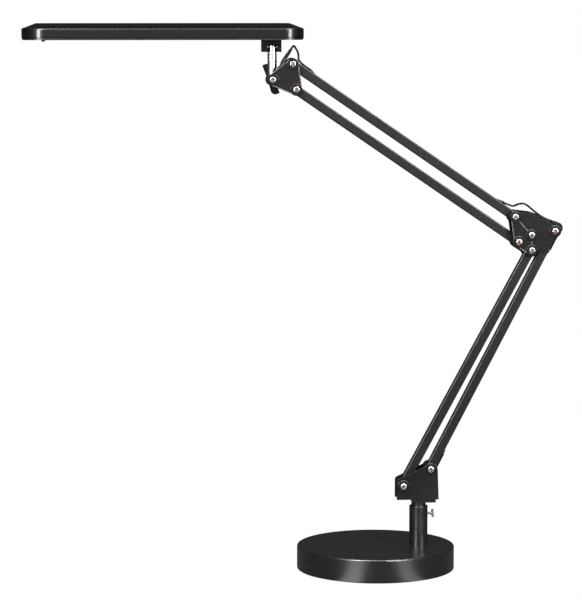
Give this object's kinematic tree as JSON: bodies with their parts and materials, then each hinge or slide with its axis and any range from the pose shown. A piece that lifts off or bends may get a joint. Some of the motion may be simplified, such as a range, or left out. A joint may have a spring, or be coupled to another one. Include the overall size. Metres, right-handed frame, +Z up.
{
  "type": "swing-arm desk lamp",
  "caption": "Desk lamp with a long flat light head on two double-bar swing arms, a side plate at each joint and a heavy round base.",
  "frame": {"origin": "centre of the round base's foot face, on the table", "axes": "+X points from the light head's free end towards the post, to the right in the picture; +Y points away from the viewer, to the back; +Z up"},
  "size_m": [0.6774, 0.2017, 0.6923],
  "materials": {
    "base_paint": "black paint with a fine metallic fleck, semi-gloss",
    "foot_pad": "matt foam rubber",
    "ballast": "as cast",
    "black_steel": "satin black paint",
    "dark_screw": "blackened",
    "nickel": "bright nickel plate",
    "bush": "turned, plain",
    "black_bar": "black anodised, satin",
    "head_finish": "black, satin with a metallic sheen",
    "bezel": "black, smooth",
    "rod_chrome": "polished chrome plate",
    "black_plastic": "moulded, fine grain",
    "grey_grommet": "light grey",
    "frosted": "frosted, light-spreading",
    "white_box": "white, matt",
    "board_white": "white solder mask on aluminium",
    "led_yellow": "phosphor yellow",
    "board_green": "green circuit board with parts potted over",
    "lead_black": "black PVC, smooth"
  },
  "bodies": {
    "base": {"base_pad": "foot_pad", "base_shell": "base_paint", "base_weight": "ballast", "stand_tube": "black_steel", "spigot_nut": "dark_screw", "cable_grommet": "black_plastic", "lead_in_base": "lead_black"},
    "neck": {"neck_post": "black_steel", "neck_block": "black_steel", "base_bracket": "black_steel", "base_bolts": "nickel", "base_nuts": "dark_screw", "base_bushes": "bush", "lead_in_neck": "lead_black", "lead_base_bend": "lead_black"},
    "right_bar": {"lower_right_bar": "black_bar", "lead_in_lower_bar": "lead_black"},
    "left_bar": {"lower_left_bar": "black_bar"},
    "elbow": {"elbow_front_cheek": "black_steel", "elbow_front_wing": "black_steel", "elbow_back_plate": "black_steel", "elbow_spacer": "black_steel", "elbow_bolts": "nickel", "elbow_nose_bolt": "nickel", "elbow_nuts": "dark_screw", "elbow_bushes": "bush", "lead_elbow_lower": "lead_black", "lead_elbow_upper": "lead_black"},
    "top_bar": {"upper_top_bar": "black_bar", "lead_in_upper_bar": "lead_black"},
    "bottom_bar": {"upper_bottom_bar": "black_bar"},
    "head_bracket": {"head_front_plate": "black_steel", "head_back_plate": "black_steel", "head_bolts": "nickel", "head_nuts": "dark_screw", "head_bushes": "bush", "tilt_bolt": "nickel", "lead_head_fall": "lead_black", "lead_head_rise": "lead_black"},
    "tilt": {"tilt_hub": "black_steel", "head_rod": "rod_chrome", "rod_grommet": "grey_grommet", "lead_in_rod": "lead_black"},
    "knuckle": {"rod_knuckle": "rod_chrome", "lead_in_knuckle": "lead_black"},
    "head": {"head_yoke": "black_steel", "yoke_pins": "bush", "yoke_washers": "bush", "head_bezel": "bezel", "head_shell": "head_finish", "diffuser": "frosted", "light_box": "white_box", "led_board": "board_white", "led_chips": "led_yellow", "driver_board": "board_green", "button_switch": "black_plastic", "lead_head_tail": "lead_black"},
    "button": {"power_button": "black_plastic"},
    "knob": {"wing_knob": "black_plastic"},
    "clamp": {"thumb_screw": "nickel"}
  },
  "joints": [
    {"name": "base_swivel", "type": "hinge", "parent": "base", "child": "neck", "pos_m": [0.055, 0, 0.06], "axis": [0, 0, 1], "range_deg": [-170, 170]},
    {"name": "lower_arm_fold", "type": "hinge", "parent": "neck", "child": "right_bar", "pos_m": [0.0693, 0, 0.1289], "axis": [0, 1, 0], "range_deg": [-75, 3], "deforming": ["lead_base_bend"]},
    {"name": "lower_link", "type": "hinge", "parent": "neck", "child": "left_bar", "pos_m": [0.0343, 0, 0.1074], "axis": [0, 1, 0], "range_deg": [-75.7, 3.1]},
    {"name": "elbow_level", "type": "hinge", "parent": "right_bar", "child": "elbow", "pos_m": [0.2255, 0, 0.43089], "axis": [0, 1, 0], "range_deg": [-3.4, 84.1], "deforming": ["lead_elbow_lower"]},
    {"name": "upper_arm_fold", "type": "hinge", "parent": "elbow", "child": "top_bar", "pos_m": [0.1744, 0, 0.44929], "axis": [0, 1, 0], "range_deg": [-60, 20], "deforming": ["lead_elbow_upper"]},
    {"name": "upper_link", "type": "hinge", "parent": "elbow", "child": "bottom_bar", "pos_m": [0.179, 0, 0.41754], "axis": [0, 1, 0], "range_deg": [-60, 20]},
    {"name": "head_level", "type": "hinge", "parent": "top_bar", "child": "head_bracket", "pos_m": [-0.1067, 0, 0.64162], "axis": [0, 1, 0], "range_deg": [-20, 60], "deforming": ["lead_head_fall"]},
    {"name": "head_tilt", "type": "hinge", "parent": "head_bracket", "child": "tilt", "pos_m": [-0.1316, 0, 0.62222], "axis": [0, 1, 0], "range_deg": [-90, 20], "deforming": ["lead_head_rise"]},
    {"name": "head_swivel", "type": "hinge", "parent": "tilt", "child": "knuckle", "pos_m": [-0.1316, 0, 0.6553], "axis": [0, 0, 1], "range_deg": [-90, 90]},
    {"name": "head_roll", "type": "hinge", "parent": "knuckle", "child": "head", "pos_m": [-0.1326, 0, 0.66342], "axis": [-1, 0, 0], "range_deg": [-45, 45], "deforming": ["lead_head_tail"]},
    {"name": "knob_turn", "type": "hinge", "parent": "head_bracket", "child": "knob", "pos_m": [-0.1316, 0.0132, 0.62222], "axis": [0, 1, 0], "continuous": true},
    {"name": "clamp_turn", "type": "hinge", "parent": "base", "child": "clamp", "pos_m": [0.066, 0, 0.0704], "axis": [1, 0, 0], "continuous": true},
    {"name": "button_press", "type": "slide", "parent": "head", "child": "button", "axis": [0, 0, 1], "range_m": [0, 0.0012], "stiffness_N_per_m": 500, "springref_m": -0.001}
  ],
  "couplings": [
    {"joint": "lower_link", "follows": "lower_arm_fold", "ratio": 1.009},
    {"joint": "elbow_level", "follows": "lower_arm_fold", "ratio": -1.12},
    {"joint": "upper_link", "follows": "upper_arm_fold", "ratio": 1},
    {"joint": "head_level", "follows": "upper_arm_fold", "ratio": -1}
  ]
}
